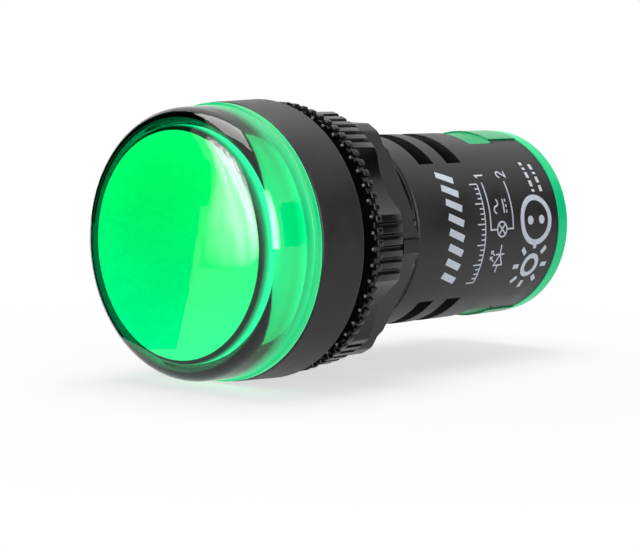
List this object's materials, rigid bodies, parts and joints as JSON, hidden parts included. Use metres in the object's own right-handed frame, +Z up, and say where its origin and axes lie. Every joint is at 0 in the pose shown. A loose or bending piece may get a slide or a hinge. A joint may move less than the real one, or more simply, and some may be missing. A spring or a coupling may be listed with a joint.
{
  "type": "panel pilot light",
  "caption": "Round panel pilot light with a green lens, black bezel, knurled lock nut on a threaded barrel, vented shell and snap-in terminal base.",
  "frame": {"origin": "centre of the bezel's rear face, which seats on the panel", "axes": "+Y along the lamp's axis from the lens to the terminals, +Z up, lens facing -Y"},
  "size_m": [0.0296, 0.0538, 0.0294],
  "materials": {
    "lens_green": "clear green, polished",
    "diffuser_green": "milky green, lit",
    "black_moulding": "fine matte texture",
    "gasket_rubber": "soft matte",
    "black_nut": "satin",
    "board_laminate": "satin solder mask",
    "component_black": "matte",
    "capacitor_sleeve": "satin sleeve",
    "resistor_coat": "lacquer",
    "led_resin": "clear resin",
    "pin_metal": "bright",
    "brass": "bright",
    "plated_steel": "bright plating",
    "base_green": "satin green"
  },
  "bodies": {
    "lamp": {"lens_cap": "lens_green", "diffuser": "diffuser_green", "housing": "black_moulding", "gasket": "gasket_rubber", "led_board": "board_laminate", "driver_board": "board_laminate", "bridge_rectifier": "component_black", "capacitor": "capacitor_sleeve", "resistor_1": "resistor_coat", "resistor_2": "resistor_coat", "terminal_base": "base_green", "led_1": "led_resin", "led_2": "led_resin", "led_3": "led_resin", "led_4": "led_resin", "led_5": "led_resin", "led_6": "led_resin", "link_pin_1": "pin_metal", "terminal_plate_1": "brass", "link_pin_2": "pin_metal", "terminal_plate_2": "brass"},
    "nut": {"lock_nut": "black_nut"},
    "clamp_1": {"wire_clamp_1": "plated_steel"},
    "clamp_2": {"wire_clamp_2": "plated_steel"},
    "screw_1": {"terminal_screw_1": "plated_steel"},
    "screw_2": {"terminal_screw_2": "plated_steel"}
  },
  "joints": [
    {"name": "nut_turn", "type": "hinge", "parent": "lamp", "child": "nut", "pos_m": [0, 0.006, 0], "axis": [0, 1, 0], "continuous": true},
    {"name": "clamp_1_lift", "type": "slide", "parent": "lamp", "child": "clamp_1", "axis": [0, 1, 0], "range_m": [0, 0.0025]},
    {"name": "screw_1_turn", "type": "hinge", "parent": "clamp_1", "child": "screw_1", "pos_m": [-0.0042, 0.0354, 0], "axis": [0, 1, 0], "range_deg": [0, 1800]},
    {"name": "clamp_2_lift", "type": "slide", "parent": "lamp", "child": "clamp_2", "axis": [0, 1, 0], "range_m": [0, 0.0025]},
    {"name": "screw_2_turn", "type": "hinge", "parent": "clamp_2", "child": "screw_2", "pos_m": [0.0042, 0.0354, 0], "axis": [0, 1, 0], "range_deg": [0, 1800]}
  ],
  "couplings": [
    {"joint": "screw_1_turn", "follows": "clamp_1_lift", "rad_per_m": 12566},
    {"joint": "screw_2_turn", "follows": "clamp_2_lift", "rad_per_m": 12566}
  ]
}
